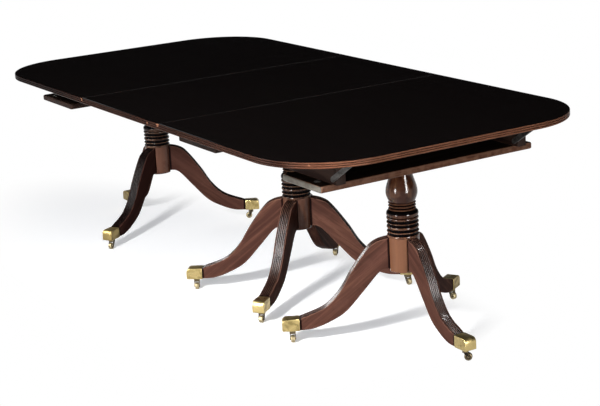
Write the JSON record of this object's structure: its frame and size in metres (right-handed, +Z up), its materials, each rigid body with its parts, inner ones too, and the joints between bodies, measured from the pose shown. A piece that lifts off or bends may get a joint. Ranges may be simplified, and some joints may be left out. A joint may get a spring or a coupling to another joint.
{
  "type": "triple pedestal dining table",
  "caption": "Dining table with rounded ends and a loose leaf on turned pedestals with sabre legs, toe caps and swivel casters; each end tips up and the leaf lifts off.",
  "frame": {"origin": "on the floor, under the middle of the overall footprint", "axes": "+X along the table, towards the end that the middle pedestal stands nearer to; +Y across it; +Z up"},
  "size_m": [2.54, 1.19, 0.74],
  "materials": {
    "polished_mahogany": "high gloss polish",
    "mahogany": "polished, worn on the edges",
    "plain_wood": "stained, unpolished",
    "brass": "aged satin",
    "dark_brass": "tarnished",
    "steel": "dull"
  },
  "bodies": {
    "pedestals": {"bearer_left_far": "plain_wood", "bearer_left_near": "plain_wood", "bearer_middle_far": "plain_wood", "bearer_middle_near": "plain_wood", "bearer_right_far": "plain_wood", "bearer_right_near": "plain_wood", "column_left": "mahogany", "column_middle": "mahogany", "column_right": "mahogany", "leg_left_far": "mahogany", "leg_left_near": "mahogany", "leg_left_outer": "mahogany", "leg_middle_far_left": "mahogany", "leg_middle_far_right": "mahogany", "leg_middle_near_left": "mahogany", "leg_middle_near_right": "mahogany", "leg_right_far": "mahogany", "leg_right_near": "mahogany", "leg_right_outer": "mahogany", "platform_left": "plain_wood", "platform_middle": "plain_wood", "platform_right": "plain_wood", "toe_cap_left_far": "brass", "toe_cap_left_near": "brass", "toe_cap_left_outer": "brass", "toe_cap_middle_far_left": "brass", "toe_cap_middle_far_right": "brass", "toe_cap_middle_near_left": "brass", "toe_cap_middle_near_right": "brass", "toe_cap_right_far": "brass", "toe_cap_right_near": "brass", "toe_cap_right_outer": "brass"},
    "left_end": {"top_left_end": "polished_mahogany", "hinge_strap_left_near": "steel", "hinge_strap_left_far": "steel"},
    "right_end": {"top_right_end": "polished_mahogany", "hinge_strap_right_near": "steel", "hinge_strap_right_far": "steel"},
    "leaf": {"top_leaf": "polished_mahogany"},
    "fork_left_outer": {"caster_fork_left_outer": "dark_brass"},
    "wheel_left_outer": {"caster_wheel_left_outer": "brass"},
    "fork_left_near": {"caster_fork_left_near": "dark_brass"},
    "wheel_left_near": {"caster_wheel_left_near": "brass"},
    "fork_left_far": {"caster_fork_left_far": "dark_brass"},
    "wheel_left_far": {"caster_wheel_left_far": "brass"},
    "fork_middle_near_left": {"caster_fork_middle_near_left": "dark_brass"},
    "wheel_middle_near_left": {"caster_wheel_middle_near_left": "brass"},
    "fork_middle_near_right": {"caster_fork_middle_near_right": "dark_brass"},
    "wheel_middle_near_right": {"caster_wheel_middle_near_right": "brass"},
    "fork_middle_far_left": {"caster_fork_middle_far_left": "dark_brass"},
    "wheel_middle_far_left": {"caster_wheel_middle_far_left": "brass"},
    "fork_middle_far_right": {"caster_fork_middle_far_right": "dark_brass"},
    "wheel_middle_far_right": {"caster_wheel_middle_far_right": "brass"},
    "fork_right_outer": {"caster_fork_right_outer": "dark_brass"},
    "wheel_right_outer": {"caster_wheel_right_outer": "brass"},
    "fork_right_near": {"caster_fork_right_near": "dark_brass"},
    "wheel_right_near": {"caster_wheel_right_near": "brass"},
    "fork_right_far": {"caster_fork_right_far": "dark_brass"},
    "wheel_right_far": {"caster_wheel_right_far": "brass"}
  },
  "joints": [
    {"name": "left_end_tilt", "type": "hinge", "parent": "pedestals", "child": "left_end", "pos_m": [-1.031, 0, 0.648], "axis": [0, -1, 0], "range_deg": [0, 90]},
    {"name": "right_end_tilt", "type": "hinge", "parent": "pedestals", "child": "right_end", "pos_m": [1.091, 0, 0.648], "axis": [0, 1, 0], "range_deg": [0, 90]},
    {"name": "leaf_lift", "type": "slide", "parent": "pedestals", "child": "leaf", "axis": [0, 0, 1], "range_m": [0, 0.3]},
    {"name": "swivel_left_outer", "type": "hinge", "parent": "pedestals", "child": "fork_left_outer", "pos_m": [-1.235, 0, 0.042], "axis": [0, 0, 1], "continuous": true},
    {"name": "roll_left_outer", "type": "hinge", "parent": "fork_left_outer", "child": "wheel_left_outer", "pos_m": [-1.235, -0.012, 0.01324], "axis": [1, 0, 0], "continuous": true},
    {"name": "swivel_left_near", "type": "hinge", "parent": "pedestals", "child": "fork_left_near", "pos_m": [-0.72, -0.33775, 0.042], "axis": [0, 0, 1], "continuous": true},
    {"name": "roll_left_near", "type": "hinge", "parent": "fork_left_near", "child": "wheel_left_near", "pos_m": [-0.71312, -0.34758, 0.01324], "axis": [0.8192, 0.5736, 0], "continuous": true},
    {"name": "swivel_left_far", "type": "hinge", "parent": "pedestals", "child": "fork_left_far", "pos_m": [-0.72, 0.33775, 0.042], "axis": [0, 0, 1], "continuous": true},
    {"name": "roll_left_far", "type": "hinge", "parent": "fork_left_far", "child": "wheel_left_far", "pos_m": [-0.7241, 0.32647, 0.01324], "axis": [0.9397, -0.342, 0], "continuous": true},
    {"name": "swivel_middle_near_left", "type": "hinge", "parent": "pedestals", "child": "fork_middle_near_left", "pos_m": [-0.00961, -0.31649, 0.042], "axis": [0, 0, 1], "continuous": true},
    {"name": "roll_middle_near_left", "type": "hinge", "parent": "fork_middle_near_left", "child": "wheel_middle_near_left", "pos_m": [0.00068, -0.32267, 0.01324], "axis": [0.515, 0.8572, 0], "continuous": true},
    {"name": "swivel_middle_near_right", "type": "hinge", "parent": "pedestals", "child": "fork_middle_near_right", "pos_m": [0.47961, -0.31649, 0.042], "axis": [0, 0, 1], "continuous": true},
    {"name": "roll_middle_near_right", "type": "hinge", "parent": "fork_middle_near_right", "child": "wheel_middle_near_right", "pos_m": [0.48764, -0.32541, 0.01324], "axis": [0.7431, 0.6691, 0], "continuous": true},
    {"name": "swivel_middle_far_left", "type": "hinge", "parent": "pedestals", "child": "fork_middle_far_left", "pos_m": [-0.00961, 0.31649, 0.042], "axis": [0, 0, 1], "continuous": true},
    {"name": "roll_middle_far_left", "type": "hinge", "parent": "fork_middle_far_left", "child": "wheel_middle_far_left", "pos_m": [-0.00113, 0.308, 0.01324], "axis": [0.7071, 0.7071, 0], "continuous": true},
    {"name": "swivel_middle_far_right", "type": "hinge", "parent": "pedestals", "child": "fork_middle_far_right", "pos_m": [0.47961, 0.31649, 0.042], "axis": [0, 0, 1], "continuous": true},
    {"name": "roll_middle_far_right", "type": "hinge", "parent": "fork_middle_far_right", "child": "wheel_middle_far_right", "pos_m": [0.49156, 0.31544, 0.01324], "axis": [0.0872, 0.9962, 0], "continuous": true},
    {"name": "swivel_right_outer", "type": "hinge", "parent": "pedestals", "child": "fork_right_outer", "pos_m": [1.235, 0, 0.042], "axis": [0, 0, 1], "continuous": true},
    {"name": "roll_right_outer", "type": "hinge", "parent": "fork_right_outer", "child": "wheel_right_outer", "pos_m": [1.24348, 0.00848, 0.01324], "axis": [-0.7071, 0.7071, 0], "continuous": true},
    {"name": "swivel_right_near", "type": "hinge", "parent": "pedestals", "child": "fork_right_near", "pos_m": [0.72, -0.33775, 0.042], "axis": [0, 0, 1], "continuous": true},
    {"name": "roll_right_near", "type": "hinge", "parent": "fork_right_near", "child": "wheel_right_near", "pos_m": [0.73029, -0.34393, 0.01324], "axis": [0.515, 0.8572, 0], "continuous": true},
    {"name": "swivel_right_far", "type": "hinge", "parent": "pedestals", "child": "fork_right_far", "pos_m": [0.72, 0.33775, 0.042], "axis": [0, 0, 1], "continuous": true},
    {"name": "roll_right_far", "type": "hinge", "parent": "fork_right_far", "child": "wheel_right_far", "pos_m": [0.73195, 0.3388, 0.01324], "axis": [-0.0872, 0.9962, 0], "continuous": true}
  ]
}
